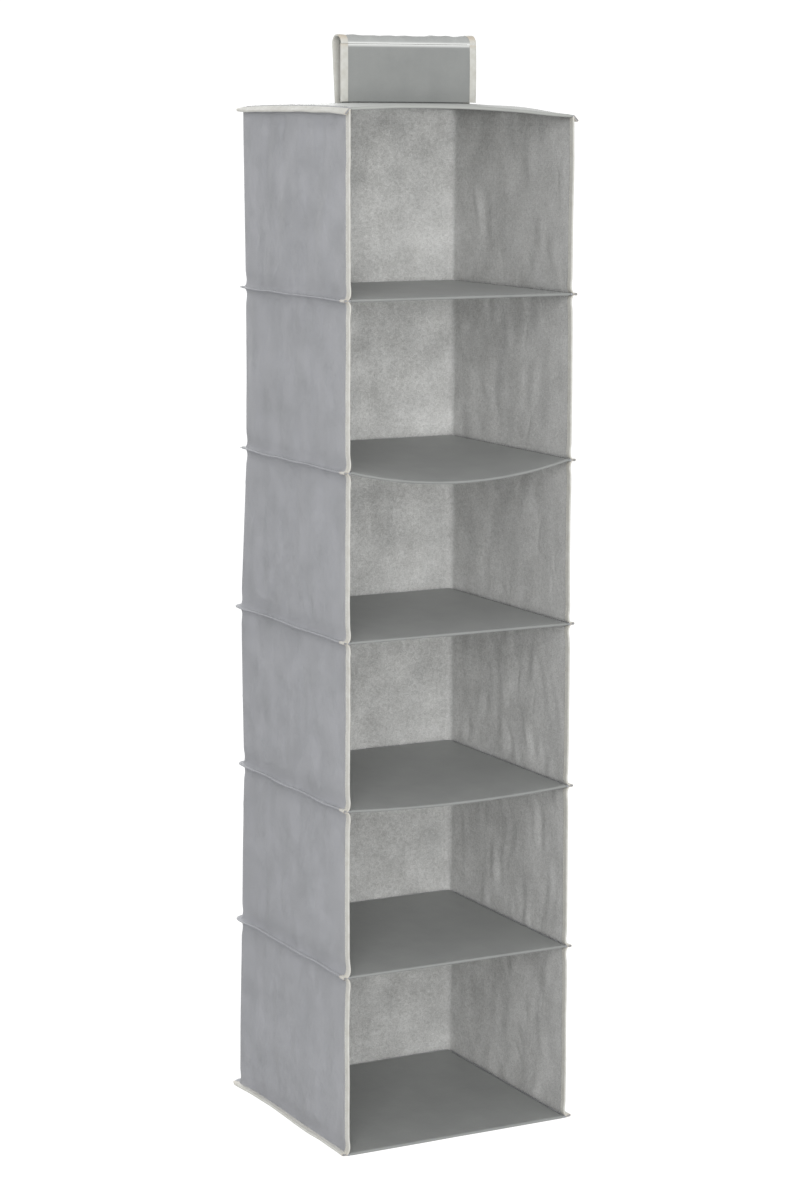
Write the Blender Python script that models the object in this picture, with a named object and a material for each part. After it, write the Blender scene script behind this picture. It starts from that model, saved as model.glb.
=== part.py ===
"""Hanging shoe organizer: a tall stack of open-fronted fabric compartments under a rod loop.

One wrap of non-woven fabric makes the left side, the back and the right side. Seven sleeved boards
stand in it: the top panel, five shelves and the bottom panel. At each shelf the wrap is pinched into a
small tuck that sticks out past the walls. A tape binds the front edges of the wrap and runs out round
the end of every tuck. The loop on top opens at its front flap, which closes with hook and loop tape.

Units are metres, +Z is up and the open front faces -Y. The origin is at the middle of the inner face
of the loop's top, where the loop rests on a wardrobe rod.
"""

import math

import bmesh
import bpy

MM = 0.001

# Driving dimensions
BODY_WIDTH = 290 * MM
BODY_DEPTH = 290 * MM
BODY_HEIGHT = 1200 * MM
CELL_COUNT = 6
END_CELL_EXTRA = 15 * MM     # how much taller the top and bottom cells are than the others
TUCK_REACH = 6.5 * MM        # how far a shelf's tuck stands out from the walls
END_SEAM_REACH = 8 * MM      # how far the seams of the top and bottom panels stand out
GAP = 0.3 * MM               # clearance between neighbouring pieces

# Cloth, board and tape
CLOTH = 0.5 * MM
WALL = 1.0 * MM
BOARD = 2.0 * MM
LIP = 1.6 * MM               # thickness of the pinched tuck or seam beyond the walls
TAPE = 0.5 * MM
FOLDED_TAPE = 1.2 * MM       # the tape where it is folded round the end of a tuck
SEAM_TAPE = 0.9 * MM
TAPE_REACH = 9 * MM          # how far a binding reaches in from the edge it covers
SLEEVE = 2 * CLOTH + 2 * GAP + BOARD
POCKET_INSET = 4 * MM        # from a wall's outer face to the board pocket
CORNER_RADIUS = 8 * MM
BINDING_CLEARANCE = 1.1 * MM  # from a wall's outer face to the inner end of a seam binding

# Shape that the panels have taken: the top is pulled up by the loop, two shelves have sagged
TOP_CROWN = 9.5 * MM
CROWN_PLATEAU = 0.6          # the loop holds the top panel flat over this share of the pocket
CROWN_FALL_TO_SIDE = 0.25
CROWN_FALL_TO_FRONT = 0.25
CORNER_DROOP = 8 * MM        # the front right corner of the top hangs low
DROOP_SPREAD = 100 * MM
END_SEAM_HANG = 0.7          # fall of the top panel's side seams for each unit that they stand out
SHELF_SAG = {2: 18 * MM, 4: 5 * MM}
CURVED_SPANS = 10
CURVED_ROWS = 6
CORNER_SPANS = 4

# Rod loop
LOOP_WIDTH = 178 * MM
LOOP_DROP = 87 * MM          # from the rod face down to the level that the top panel's crown rises from
STRAP = 1.2 * MM
LOOP_FLAT = 4 * MM           # flat stretch on top of the rod
LOOP_RADIUS = 9.6 * MM
REAR_LEAN = 8 * MM           # how far the rear leg leans in on its way down
STIFFENER = 1.0 * MM
FLAP = 2 * CLOTH + 2 * GAP + STIFFENER
FLAP_HEM = 8 * MM
FLAP_FOOT_CLEARANCE = 1.5 * MM
STIFFENER_FOOT_CLEARANCE = 2.5 * MM
RISER = 1.0 * MM
RISER_HEIGHT = 25 * MM
CLOSURE_WIDTH = 150 * MM
CLOSURE_HEIGHT = 20 * MM
CLOSURE_TAPE = 1.0 * MM
CLOSURE_FOOT_CLEARANCE = 2 * MM

# Colours: linear red, green, blue, then roughness
WRAP_GREY = ((0.33, 0.34, 0.355), 0.85)
SHELF_GREY = ((0.20, 0.21, 0.215), 0.8)
BINDING_CREAM = ((0.66, 0.64, 0.60), 0.85)
BOARD_BROWN = ((0.34, 0.25, 0.16), 0.9)
CLOSURE_GREY = ((0.42, 0.42, 0.41), 0.95)

HALF_WIDTH = BODY_WIDTH / 2
HALF_DEPTH = BODY_DEPTH / 2
POCKET_HALF = HALF_WIDTH - POCKET_INSET
LOOP_HALF = LOOP_WIDTH / 2
LEFT, RIGHT = -1, 1
SIDES = {"left": LEFT, "right": RIGHT}


def clear_scene():
    """Remove every object, so that the file starts empty."""
    for item in list(bpy.data.objects):
        bpy.data.objects.remove(item, do_unlink=True)


def make_material(name, look):
    """A plain material from a colour and a roughness."""
    color, roughness = look
    material = bpy.data.materials.new(name)
    material.use_nodes = True
    surface = material.node_tree.nodes["Principled BSDF"]
    surface.inputs["Base Color"].default_value = (*color, 1.0)
    surface.inputs["Roughness"].default_value = roughness
    surface.inputs["Metallic"].default_value = 0.0
    return material


def panel_level(index):
    """Height of a panel's mid-plane: 0 is the top panel and CELL_COUNT is the bottom one.

    The cells share the height evenly, apart from the extra that the two end cells have, where the
    wrap is pinched into a tuck on one side only.
    """
    even_height = (BODY_HEIGHT - SLEEVE - 2 * END_CELL_EXTRA) / CELL_COUNT
    end_cells_above = (index > 0) + (index == CELL_COUNT)
    return -LOOP_DROP - SLEEVE / 2 - even_height * index - END_CELL_EXTRA * end_cells_above


def crown(x, y):
    """Rise of the top panel: most under the loop, three quarters of it at the seams, half at the corners.

    The front right corner hangs lower than the others by a bell-shaped droop.
    """
    plateau = CROWN_PLATEAU * POCKET_HALF
    to_side = min(1.0, max(0.0, (abs(x) - plateau) / (HALF_WIDTH - plateau)))
    to_front = min(1.0, (y / HALF_DEPTH) ** 2)
    pulled = max(0.0, 1 - CROWN_FALL_TO_SIDE * to_side - CROWN_FALL_TO_FRONT * to_front)
    from_corner = math.hypot(x - HALF_WIDTH, y + HALF_DEPTH) / DROOP_SPREAD
    return TOP_CROWN * pulled - CORNER_DROOP * math.exp(-from_corner ** 2)


def sag(index, x, y):
    """Rise of a shelf, which is negative where it sags: most at the front edge's middle."""
    across = max(0.0, 1 - (x / POCKET_HALF) ** 2)
    forward = min(1.0, max(0.0, (HALF_DEPTH - y) / BODY_DEPTH))
    return -SHELF_SAG.get(index, 0.0) * across * forward


def panel_rise(index, x, y):
    """Height of a panel's mid-plane above its level at one place.

    Past the side walls the top panel's seam hangs down, because the weight of the body pulls on it.
    """
    if index:
        return sag(index, x, y)
    return crown(x, y) - END_SEAM_HANG * max(0.0, abs(x) - HALF_WIDTH)


def is_curved(index):
    """Whether a panel needs a fine lattice for its curve."""
    return index == 0 or index in SHELF_SAG


def spread(start, end, spans):
    """Evenly spaced values from start to end, with both ends."""
    return [start + (end - start) * step / spans for step in range(spans + 1)]


def pocket_columns():
    """Lattice columns across a curved panel, which the wall behind it shares."""
    return spread(-POCKET_HALF, POCKET_HALF, CURVED_SPANS)


def pocket_rows():
    """Lattice rows from the front to the back of a curved panel, which the walls beside it share."""
    return spread(-HALF_DEPTH + CLOTH, HALF_DEPTH, CURVED_ROWS)


def lattice_object(name, cells, is_solid, place, body, look):
    """A closed object made of the solid cells of a lattice.

    cells is the number of cells along each of the three directions, is_solid says whether the cell
    at three indices holds material, and place gives the world position of the corner at three indices.
    Every square is split along the same diagonal, so that nested curved layers keep their distance.
    """
    def filled(cell):
        inside = all(0 <= at < count for at, count in zip(cell, cells))
        return inside and is_solid(*cell)

    mesh = bpy.data.meshes.new(name)
    build = bmesh.new()
    corners = {}

    def corner(key):
        if key not in corners:
            world = place(*key)
            corners[key] = build.verts.new([w - o for w, o in zip(world, body.matrix_world.translation)])
        return corners[key]

    halves = (((0, 0), (1, 0), (1, 1)), ((0, 0), (1, 1), (0, 1)))
    for cell in [(i, j, k) for i in range(cells[0]) for j in range(cells[1]) for k in range(cells[2])]:
        if not filled(cell):
            continue
        for axis in range(3):
            first, second = (axis + 1) % 3, (axis + 2) % 3
            for step in (0, 1):
                beside = list(cell)
                beside[axis] += 1 if step else -1
                if filled(beside):
                    continue
                for half in halves:
                    ring = []
                    for along, across in half if step else half[::-1]:
                        key = list(cell)
                        key[axis] += step
                        key[first] += along
                        key[second] += across
                        ring.append(corner(tuple(key)))
                    build.faces.new(ring)
    bmesh.ops.recalc_face_normals(build, faces=build.faces)
    build.to_mesh(mesh)
    build.free()
    item = bpy.data.objects.new(name, mesh)
    bpy.context.collection.objects.link(item)
    item.data.materials.append(make_material(name, look))
    item.parent = body
    return item


def block_object(name, xs, ys, zs, body, look, is_solid=None, rise=None):
    """A lattice object on three lists of coordinates, lifted by rise(x, y) if one is given."""
    def place(i, j, k):
        lift = rise(xs[i], ys[j]) if rise else 0.0
        return xs[i], ys[j], zs[k] + lift

    cells = (len(xs) - 1, len(ys) - 1, len(zs) - 1)
    return lattice_object(name, cells, is_solid or (lambda i, j, k: True), place, body, look)


def mirrored(values, side):
    """Distances from the middle turned into rising coordinates on one side."""
    return sorted(side * value for value in values)


def channel_columns(side):
    """The lattice column that closes a channel: the outermost one on its own side."""
    return 0 if side == LEFT else 1


def make_body(name, location, parent=None):
    """An empty that carries the pieces of one body, at its joint."""
    body = bpy.data.objects.new(name, None)
    bpy.context.collection.objects.link(body)
    if parent:
        body.parent = parent
        location = [at - base for at, base in zip(location, parent.matrix_world.translation)]
    body.location = location
    bpy.context.view_layer.update()
    return body


def make_cover(name, index, reach, body):
    """A fabric sleeve over a board, open along the back, with a thin lip out past the walls."""
    columns = pocket_columns() if is_curved(index) else [-POCKET_HALF, POCKET_HALF]
    rows = pocket_rows() if is_curved(index) else [-HALF_DEPTH + CLOTH, HALF_DEPTH]
    xs = [-HALF_WIDTH - reach, -HALF_WIDTH, *columns, HALF_WIDTH, HALF_WIDTH + reach]
    ys = [-HALF_DEPTH, *rows, HALF_DEPTH + reach]
    level = panel_level(index)
    layers = (SLEEVE / 2, SLEEVE / 2 - CLOTH, LIP / 2)
    zs = [level - z for z in layers] + [level + z for z in reversed(layers)]
    last = len(xs) - 2

    def is_solid(i, j, k):
        if i in (0, last):
            return k == 2
        if i in (1, last - 1) or j == 0:
            return True
        return k in (0, 4)

    block_object(name, xs, ys, zs, body, SHELF_GREY, is_solid, lambda x, y: panel_rise(index, x, y))


def make_board(name, index, body):
    """The stiff board in a sleeve, which follows the sleeve's curve."""
    spans = CURVED_SPANS if is_curved(index) else 1
    rows = CURVED_ROWS if is_curved(index) else 1
    half = POCKET_HALF - GAP
    level = panel_level(index)
    xs = spread(-half, half, spans)
    ys = spread(-HALF_DEPTH + CLOTH + GAP, HALF_DEPTH - WALL, rows)
    zs = [level - BOARD / 2, level + BOARD / 2]
    block_object(name, xs, ys, zs, body, BOARD_BROWN, rise=lambda x, y: panel_rise(index, x, y))


def make_seam_binding(name, index, side, body):
    """The tape folded round the side seam of the top or bottom panel, open towards the body."""
    edge = HALF_WIDTH + END_SEAM_REACH + GAP
    xs = mirrored((edge + SEAM_TAPE, edge, HALF_WIDTH + BINDING_CLEARANCE), side)
    ys = [-HALF_DEPTH - GAP, *pocket_rows()[1:], HALF_DEPTH + END_SEAM_REACH]
    level = panel_level(index)
    inner = LIP / 2 + GAP
    zs = [level - inner - SEAM_TAPE, level - inner, level + inner, level + inner + SEAM_TAPE]
    closed = channel_columns(side)
    block_object(name, xs, ys, zs, body, BINDING_CREAM, lambda i, j, k: i == closed or k != 1,
                 lambda x, y: panel_rise(index, x, y))


def make_tuck_tab(name, index, side, body):
    """The edge tape where it runs out round the front end of a shelf's tuck."""
    xs = mirrored((HALF_WIDTH + BINDING_CLEARANCE, HALF_WIDTH + TUCK_REACH + 2 * GAP), side)
    ys = [-HALF_DEPTH - GAP - FOLDED_TAPE, -HALF_DEPTH - GAP, -HALF_DEPTH + TAPE_REACH]
    level = panel_level(index)
    inner = LIP / 2 + GAP
    zs = [level - inner - FOLDED_TAPE, level - inner, level + inner, level + inner + FOLDED_TAPE]
    block_object(name, xs, ys, zs, body, BINDING_CREAM, lambda i, j, k: j == 0 or k != 1)


def cell_span(cell):
    """Lowest and highest z of the walls of a cell, clear of the panels below and above it."""
    low = panel_level(cell) + SLEEVE / 2 + GAP
    high = panel_level(cell - 1) - SLEEVE / 2 - GAP
    return low, high


def wall_stations():
    """Points and inward normals along the wrap's outer face: left side, back, right side."""
    turn = HALF_WIDTH - CORNER_RADIUS
    back = HALF_DEPTH - CORNER_RADIUS
    along = [-HALF_DEPTH, *[y for y in pocket_rows()[1:] if y < back]]
    stations = [((-HALF_WIDTH, y), (1.0, 0.0)) for y in along]
    for angle in spread(0.0, math.pi / 2, CORNER_SPANS):
        inward = (math.cos(angle), -math.sin(angle))
        point = (-turn - CORNER_RADIUS * inward[0], back - CORNER_RADIUS * inward[1])
        stations.append((point, inward))
    across = [x for x in pocket_columns() if abs(x) < turn]
    mirrored_half = [((-x, y), (-nx, ny)) for (x, y), (nx, ny) in reversed(stations)]
    return stations + [((x, HALF_DEPTH), (0.0, -1.0)) for x in across] + mirrored_half


def make_wall(name, cell, body):
    """The part of the wrap round one cell: both sides and the back as one bent sheet."""
    stations = wall_stations()
    low, high = cell_span(cell)

    def place(i, j, k):
        (x, y), (nx, ny) = stations[i]
        x, y = x + nx * WALL * j, y + ny * WALL * j
        lift = panel_rise(cell - 1, x, y) if k else 0.0
        return x, y, (high if k else low) + lift

    lattice_object(name, (len(stations) - 1, 1, 1), lambda i, j, k: True, place, body, WRAP_GREY)


def make_front_binding(name, cell, side, body):
    """The tape folded round the wrap's front edge, along one cell."""
    outer, inner = HALF_WIDTH + GAP, HALF_WIDTH - WALL - GAP
    xs = mirrored((outer + TAPE, outer, inner, inner - TAPE), side)
    ys = [-HALF_DEPTH - GAP - TAPE, -HALF_DEPTH - GAP, -HALF_DEPTH + TAPE_REACH]
    low, high = cell_span(cell)
    zs = [low, high + panel_rise(cell - 1, side * HALF_WIDTH, -HALF_DEPTH)]
    block_object(name, xs, ys, zs, body, BINDING_CREAM, lambda i, j, k: j == 0 or i != 1)


def top_face(x, y):
    """Height of the top panel's upper face at one place."""
    return panel_level(0) + SLEEVE / 2 + crown(x, y)


def strap_profile():
    """Centre line of the strap, as points and outward normals in the Y-Z plane.

    It starts at the crease above the flap, runs over the rod and ends where the rear leg begins.
    """
    centre_z = STRAP / 2 - LOOP_RADIUS
    lean = math.atan(REAR_LEAN / (LOOP_DROP - TOP_CROWN - LOOP_RADIUS))
    front = spread(math.pi, math.pi / 2, CORNER_SPANS)
    rear = spread(math.pi / 2, -lean, CORNER_SPANS)
    profile = []
    for centre_y, angles in ((-LOOP_FLAT / 2, front), (LOOP_FLAT / 2, rear)):
        for angle in angles:
            normal = (math.cos(angle), math.sin(angle))
            profile.append(((centre_y + LOOP_RADIUS * normal[0], centre_z + LOOP_RADIUS * normal[1]), normal))
    return profile


def strap_place(xs, offsets):
    """Corner positions on the strap: across its width, along its profile and through its thickness."""
    profile = strap_profile()
    foot_y = profile[-1][0][0] - REAR_LEAN
    foot_normal = profile[-1][1]

    def place(i, j, k):
        x, offset = xs[i], offsets[k]
        if j < len(profile):
            (y, z), normal = profile[j]
            return x, y + normal[0] * offset, z + normal[1] * offset
        y = foot_y + foot_normal[0] * offset
        return x, y, top_face(x, y) + GAP

    return place, len(profile)


def make_strap(body):
    """The strap from the crease over the rod and down to the top panel at the rear."""
    xs = spread(-LOOP_HALF, LOOP_HALF, CURVED_SPANS)
    place, rows = strap_place(xs, (-STRAP / 2, STRAP / 2))
    lattice_object("loop_strap", (len(xs) - 1, rows, 1), lambda i, j, k: True, place, body, WRAP_GREY)


def make_strap_binding(name, side, body):
    """The tape folded round one side edge of the strap."""
    xs = mirrored((LOOP_HALF + GAP + TAPE, LOOP_HALF + GAP, LOOP_HALF + GAP - TAPE_REACH), side)
    inner = STRAP / 2 + GAP
    place, rows = strap_place(xs, (-inner - TAPE, -inner, inner, inner + TAPE))
    closed = channel_columns(side)
    lattice_object(name, (2, rows, 3), lambda i, j, k: i == closed or k != 1, place, body, BINDING_CREAM)


def flap_faces():
    """Outer y, inner y and top z of the flap, which hangs from the crease in the strap's plane."""
    crease_y, crease_z = strap_profile()[0][0]
    outer = crease_y - STRAP / 2
    return outer, outer + FLAP, crease_z - GAP


def flap_hinge():
    """The crease line, in the plane of the bindings' front faces, so that the open flap clears them."""
    outer, inner, top = flap_faces()
    return 0.0, outer - GAP - TAPE, top


def footed_place(xs, ys, heights, clearance):
    """Corner positions on an upright piece whose lowest corners follow the crowned top panel."""
    def place(i, j, k):
        x, y = xs[i], ys[j]
        return x, y, heights[k] if heights[k] is not None else top_face(x, y) + clearance

    return place


def make_flap(body):
    """The front flap: a sleeve hemmed at its sides and top, open at the foot, over its stiffener."""
    outer, inner, top = flap_faces()
    core = LOOP_HALF - FLAP_HEM
    xs = [-LOOP_HALF, *spread(-core, core, CURVED_SPANS), LOOP_HALF]
    ys = [outer, outer + CLOTH, inner - CLOTH, inner]
    heights = [None, top - FLAP_HEM, top]
    last = len(xs) - 2

    def is_solid(i, j, k):
        return j != 1 or k == 1 or i in (0, last)

    place = footed_place(xs, ys, heights, FLAP_FOOT_CLEARANCE)
    lattice_object("loop_flap", (len(xs) - 1, 3, 2), is_solid, place, body, SHELF_GREY)


def make_stiffener(body):
    """The thin board in the flap."""
    outer, inner, top = flap_faces()
    half = LOOP_HALF - FLAP_HEM - GAP
    xs = spread(-half, half, CURVED_SPANS)
    middle = (outer + inner) / 2
    ys = [middle - STIFFENER / 2, middle + STIFFENER / 2]
    place = footed_place(xs, ys, [None, top - FLAP_HEM - GAP], STIFFENER_FOOT_CLEARANCE)
    lattice_object("flap_stiffener", (len(xs) - 1, 1, 1), lambda i, j, k: True, place, body, BOARD_BROWN)


def make_flap_binding(name, side, body):
    """The tape folded round one side edge of the flap."""
    outer, inner, top = flap_faces()
    xs = mirrored((LOOP_HALF + GAP + TAPE, LOOP_HALF + GAP, LOOP_HALF + GAP - TAPE_REACH), side)
    ys = [outer - GAP - TAPE, outer - GAP, inner + GAP, inner + GAP + TAPE]
    closed = channel_columns(side)
    place = footed_place(xs, ys, [None, top], FLAP_FOOT_CLEARANCE)
    lattice_object(name, (2, 3, 1), lambda i, j, k: i == closed or j != 1, place, body, BINDING_CREAM)


def make_closure(top_body, flap_body):
    """Hook tape inside the flap, and the riser on the top panel that carries the loop tape."""
    inner = flap_faces()[1]
    half = CLOSURE_WIDTH / 2
    low = top_face(0.0, inner) + CLOSURE_FOOT_CLEARANCE
    zs = [low, low + CLOSURE_HEIGHT]
    hook = inner + GAP
    loop = hook + CLOSURE_TAPE + GAP
    riser = loop + CLOSURE_TAPE + GAP
    block_object("hook_tape", [-half, half], [hook, hook + CLOSURE_TAPE], zs, flap_body, CLOSURE_GREY)
    block_object("loop_tape", [-half, half], [loop, loop + CLOSURE_TAPE], zs, top_body, CLOSURE_GREY)
    xs = spread(-half, half, CURVED_SPANS)
    heights = [None, top_face(0.0, inner) + RISER_HEIGHT]
    place = footed_place(xs, [riser, riser + RISER], heights, GAP)
    lattice_object("closure_riser", (len(xs) - 1, 1, 1), lambda i, j, k: True, place, top_body, WRAP_GREY)


def make_loop(top_body):
    """The rod loop: fixed strap and riser on the top panel, and the flap on its crease."""
    flap_body = make_body("flap_body", flap_hinge(), top_body)
    make_strap(top_body)
    make_flap(flap_body)
    make_stiffener(flap_body)
    make_closure(top_body, flap_body)
    for side_name, side in SIDES.items():
        make_strap_binding(f"strap_binding_{side_name}", side, top_body)
        make_flap_binding(f"flap_binding_{side_name}", side, flap_body)


def make_end_panel(prefix, index, body):
    """The top or bottom panel with its board and the bindings of its side seams."""
    make_cover(f"{prefix}_cover", index, END_SEAM_REACH, body)
    make_board(f"{prefix}_board", index, body)
    for side_name, side in SIDES.items():
        make_seam_binding(f"{prefix}_binding_{side_name}", index, side, body)


def make_cell_walls(cell, body):
    """The walls of one cell with their front bindings, which hang from the panel above."""
    make_wall(f"fabric_wall_{cell}", cell, body)
    for side_name, side in SIDES.items():
        make_front_binding(f"front_binding_{side_name}_{cell}", cell, side, body)


def make_shelf(index, body):
    """One shelf: its sleeve, its board and the two tape ends round its tuck."""
    make_cover(f"shelf_cover_{index}", index, TUCK_REACH, body)
    make_board(f"shelf_board_{index}", index, body)
    for side_name, side in SIDES.items():
        make_tuck_tab(f"tuck_tab_{side_name}_{index}", index, side, body)


def main():
    """Build the organizer from its top panel down."""
    clear_scene()
    body = make_body("top_body", (0.0, 0.0, panel_level(0)))
    make_end_panel("top", 0, body)
    make_loop(body)
    for cell in range(1, CELL_COUNT + 1):
        make_cell_walls(cell, body)
        below = make_body(f"panel_{cell}_body", (0.0, 0.0, panel_level(cell)), body)
        if cell < CELL_COUNT:
            make_shelf(cell, below)
        body = below
    make_end_panel("bottom", CELL_COUNT, body)


main()
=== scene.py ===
"""Looks of a hanging shoe organizer: a stack of open cloth cells under a rod loop.

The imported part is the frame. Its boards stay as they are; every piece of cloth and tape is replaced by a
thin sheet that is worked out here, with its folds, seams and stitches. Units are metres, +Z is up, and the
open front faces -Y.
"""
import logging
import math
from dataclasses import dataclass
from enum import Enum
from functools import cached_property
from typing import Any

import bpy
import numpy as np
from mathutils import Matrix, Vector


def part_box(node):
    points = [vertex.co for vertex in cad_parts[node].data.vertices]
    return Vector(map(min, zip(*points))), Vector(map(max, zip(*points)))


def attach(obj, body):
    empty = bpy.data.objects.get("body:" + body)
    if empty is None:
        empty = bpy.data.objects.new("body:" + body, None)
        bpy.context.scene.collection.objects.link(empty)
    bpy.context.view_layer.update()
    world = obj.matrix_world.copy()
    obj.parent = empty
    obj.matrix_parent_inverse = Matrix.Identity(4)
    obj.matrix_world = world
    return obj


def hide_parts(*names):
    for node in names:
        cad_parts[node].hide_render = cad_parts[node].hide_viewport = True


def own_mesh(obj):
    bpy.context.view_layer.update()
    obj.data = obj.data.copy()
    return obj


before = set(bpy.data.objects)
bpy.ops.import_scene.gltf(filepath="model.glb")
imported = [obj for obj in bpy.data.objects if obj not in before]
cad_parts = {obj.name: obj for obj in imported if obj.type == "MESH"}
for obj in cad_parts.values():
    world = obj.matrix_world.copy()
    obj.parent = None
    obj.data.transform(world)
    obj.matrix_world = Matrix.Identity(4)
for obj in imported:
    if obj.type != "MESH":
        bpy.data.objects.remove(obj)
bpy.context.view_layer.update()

log = logging.getLogger("organizer")
MM = 0.001


class Side(Enum):
    """The two sides of the organizer, with the sign of x on each."""

    LEFT = -1
    RIGHT = 1

    @property
    def word(self) -> str:
        """The side's name in piece names."""
        return self.name.lower()


class Slot(Enum):
    """The record's material slots that the cloth and the tape have."""

    WALL = "wall_fabric"
    PANEL = "panel_fabric"
    TAPE = "binding_tape"


# ---------------------------------------------------------------- finishes


def linear(shade: str) -> tuple[float, float, float, float]:
    """Turn an sRGB colour into the linear one that the shaders use.

    Args:
        shade: six hex digits, red, green and blue.

    Returns:
        Linear red, green and blue, then an alpha of 1.
    """
    parts = [int(shade[at : at + 2], 16) / 255 for at in (0, 2, 4)]
    lit = [p / 12.92 if p <= 0.04045 else ((p + 0.055) / 1.055) ** 2.4 for p in parts]
    return (lit[0], lit[1], lit[2], 1.0)


def add_node(
    tree: bpy.types.NodeTree, kind: str, inputs: dict | None = None, **settings: Any
) -> bpy.types.Node:
    """Add a shader node with its settings, and set or link its inputs.

    Args:
        tree: the node tree.
        kind: the node's type name after ShaderNode.
        inputs: input names or numbers, each with a constant or with the socket that feeds it.
        settings: the node's own properties.

    Returns:
        The new node.
    """
    node = tree.nodes.new("ShaderNode" + kind)
    for name, value in settings.items():
        setattr(node, name, value)
    for name, value in (inputs or {}).items():
        if isinstance(value, bpy.types.NodeSocket):
            tree.links.new(value, node.inputs[name])
        else:
            node.inputs[name].default_value = value
    return node


@dataclass(frozen=True)
class Finish:
    """A material that is built once, under its own name."""

    name: str

    def surface(self, tree: bpy.types.NodeTree) -> bpy.types.NodeSocket:
        """Add the finish's nodes and return the shader that shows."""
        raise NotImplementedError

    def material(self) -> bpy.types.Material:
        """Build the material, or return the one that is already built."""
        material = bpy.data.materials.get(self.name)
        if material is None:
            material = bpy.data.materials.new(self.name)
            material.use_nodes = True
            tree = material.node_tree
            tree.nodes.clear()
            add_node(tree, "OutputMaterial", {"Surface": self.surface(tree)})
        return material


@dataclass(frozen=True)
class NonWoven(Finish):
    """Spun-bonded polypropylene cloth: fine fibres laid at random and pressed together with hot points.

    The pressed side looks smooth and slightly waxy with faint streaks along the roll. The fibre side, with
    light coming through, shows clouds where the fibres lie thick and thin.
    """

    thin: str
    thick: str
    cloud_mm: float = 45.0
    clump_mm: float = 5.0
    cloud: float = 0.5
    clump: float = 0.3
    fibre: float = 0.1
    streak: float = 0.3
    roughness: float = 0.72
    see_through: float = 0.0
    passed: tuple[str, str] = ("E2E2E0", "B4B5B4")
    bump: float = 0.25

    def surface(self, tree: bpy.types.NodeTree) -> bpy.types.NodeSocket:
        """Fibre patterns at four sizes, a painted highlight on sharp folds, hot points, and light that comes
        through.
        """
        place = add_node(tree, "TexCoord").outputs["UV"]
        # clouds: thick and thin places of the fibre web, a few centimetres across
        clouds = {"Vector": place, "Scale": 1 / (self.cloud_mm * MM), "Detail": 3.0, "Roughness": 0.55}
        # clumps: bundles of fibres, a few millimetres across
        clumps = {"Vector": place, "Scale": 1 / (self.clump_mm * MM), "Detail": 4.0, "Roughness": 0.7}
        clumps["Distortion"] = 0.6
        # fibres: the grain of the web itself, under 2 mm
        fibres = {"Vector": place, "Scale": 620.0, "Detail": 2.0, "Roughness": 0.8}
        # streaks run up the cloth, which is the roll's direction: 2 cm wide and about 15 cm long
        long_way = add_node(tree, "Mapping", {"Vector": place, "Scale": (48.0, 6.5, 1.0)}).outputs["Vector"]
        streaks = {"Vector": long_way, "Scale": 1.0, "Detail": 2.0, "Roughness": 0.5}
        mixed, patterns = 0.5, []
        shares = (self.cloud, self.clump, self.fibre, self.streak)
        for inputs, share in zip((clouds, clumps, fibres, streaks), shares):
            patterns.append(add_node(tree, "TexNoise", inputs).outputs["Fac"])
            ends = {1: 0.3, 2: 0.7, 3: -share / 2, 4: share / 2}
            spread = add_node(tree, "MapRange", {"Value": patterns[-1], **ends})
            mixed = add_node(tree, "Math", {0: mixed, 1: spread.outputs[0]}, operation="ADD").outputs[0]
        web = {0: mixed, 6: linear(self.thin), 7: linear(self.thick)}
        body = add_node(tree, "Mix", web, data_type="RGBA")
        # painted highlight: sharp folds are drawn whitish where their crease catches the light
        fold_highlight = add_node(tree, "Attribute", attribute_name="crease_highlight").outputs["Fac"]
        colour = add_node(tree, "Mix", {0: fold_highlight, 6: body.outputs[2], 7: linear("D6D7D5")}, data_type="RGBA")
        # hot points: real ones are 1 mm apart, drawn 2.2 mm apart so that they show
        points = add_node(tree, "TexVoronoi", {"Vector": place, "Scale": 1 / (2.2 * MM), "Randomness": 0.25})
        pressed = add_node(tree, "MapRange", {"Value": points.outputs["Distance"], 1: 0.15, 2: 0.4})
        low = add_node(tree, "Bump", {"Height": patterns[1], "Strength": self.bump, "Distance": 0.6 * MM})
        dots = {"Height": pressed.outputs[0], "Strength": self.bump * 0.6, "Distance": 0.2 * MM}
        bump = add_node(tree, "Bump", {**dots, "Normal": low.outputs[0]}).outputs[0]
        look = {"Base Color": colour.outputs[2], "Roughness": self.roughness, "IOR": 1.49, "Normal": bump}
        look |= {"Sheen Weight": 0.12, "Sheen Roughness": 0.5}
        shown = add_node(tree, "BsdfPrincipled", look).outputs[0]
        if self.see_through:
            # light from behind comes through the thin places and less through the thick ones
            passed = {0: mixed, 6: linear(self.passed[0]), 7: linear(self.passed[1])}
            tint = add_node(tree, "Mix", passed, data_type="RGBA").outputs[2]
            through = add_node(tree, "BsdfTranslucent", {"Color": tint, "Normal": bump}).outputs[0]
            shown = add_node(tree, "MixShader", {0: self.see_through, 1: shown, 2: through}).outputs[0]
        return shown


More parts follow.
